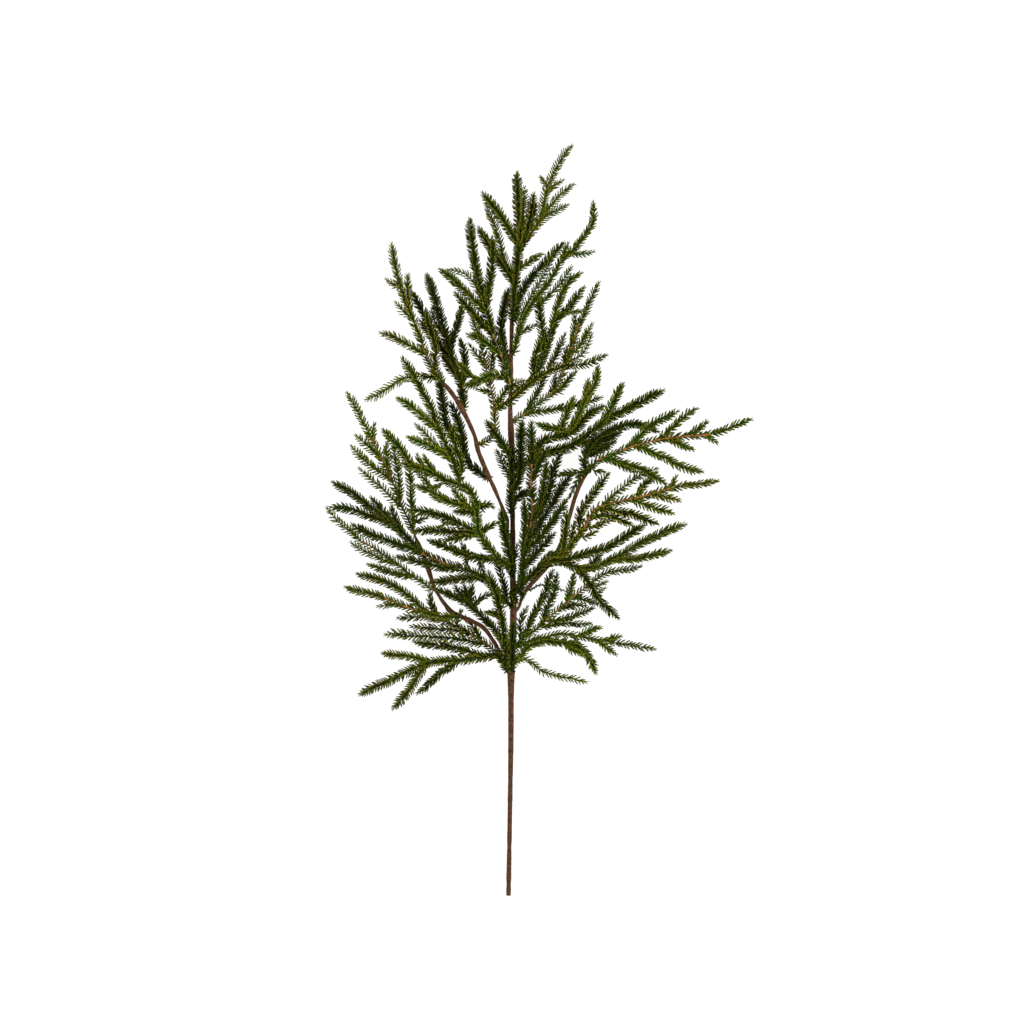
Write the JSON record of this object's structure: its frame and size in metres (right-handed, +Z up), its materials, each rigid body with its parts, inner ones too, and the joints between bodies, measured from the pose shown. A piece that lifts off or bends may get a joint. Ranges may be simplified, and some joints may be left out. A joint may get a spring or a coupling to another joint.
{
  "type": "artificial pine branch",
  "caption": "Flat evergreen branch with a bare wrapped stem and forked sprays of short moulded needles, lying as if set down on a table.",
  "frame": {"origin": "middle of the underside of the branch's bounding box as it lies on a table", "axes": "+Y along the branch from the cut foot of the stem to the crown, +Z up from the table, +X to the right seen from above"},
  "size_m": [0.5162, 0.9052, 0.107],
  "materials": {
    "moulded_needles": "satin moulded polyethylene, deep green with yellow-green tips",
    "wrapped_wire": "matt red-brown wrap with fine lengthwise streaks"
  },
  "bodies": {
    "root": {"main_stem": "wrapped_wire", "wire_lower_left": "wrapped_wire", "wire_upper_left": "wrapped_wire", "wire_right": "wrapped_wire", "spray_crown": "moulded_needles", "spray_upper_right_long": "moulded_needles", "spray_upper_right_thin": "moulded_needles", "spray_upper_right_wide": "moulded_needles", "spray_right_orange_rib": "moulded_needles", "spray_right_far_reaching": "moulded_needles", "spray_right_dark": "moulded_needles", "spray_right_top_rib": "moulded_needles", "spray_right_second_rib": "moulded_needles", "spray_right_broad": "moulded_needles", "spray_right_forked": "moulded_needles", "spray_right_lower_rib": "moulded_needles", "spray_right_lowest_long": "moulded_needles", "spray_right_lowest_drooping": "moulded_needles", "spray_right_thin_rib": "moulded_needles", "spray_stem_foot_front": "moulded_needles", "spray_stem_middle": "moulded_needles", "spray_stem_column_right": "moulded_needles", "spray_stem_left_column": "moulded_needles", "spray_lowest_left": "moulded_needles", "spray_lower_left_comb": "moulded_needles", "spray_left_low_rib": "moulded_needles", "spray_left_inner_low": "moulded_needles", "spray_left_column_low": "moulded_needles", "spray_left_long_rib": "moulded_needles", "spray_left_outer_thin": "moulded_needles", "spray_left_dark_cross": "moulded_needles", "spray_left_arching": "moulded_needles", "spray_left_chevron": "moulded_needles", "spray_inner_left_thin": "moulded_needles", "spray_upper_left_front": "moulded_needles", "spray_crown_left_dark": "moulded_needles", "spray_left_dark_climbing": "moulded_needles", "spray_left_far_corner": "moulded_needles", "spray_left_bright_fork": "moulded_needles", "spray_left_dark_hook": "moulded_needles"}
  },
  "joints": []
}
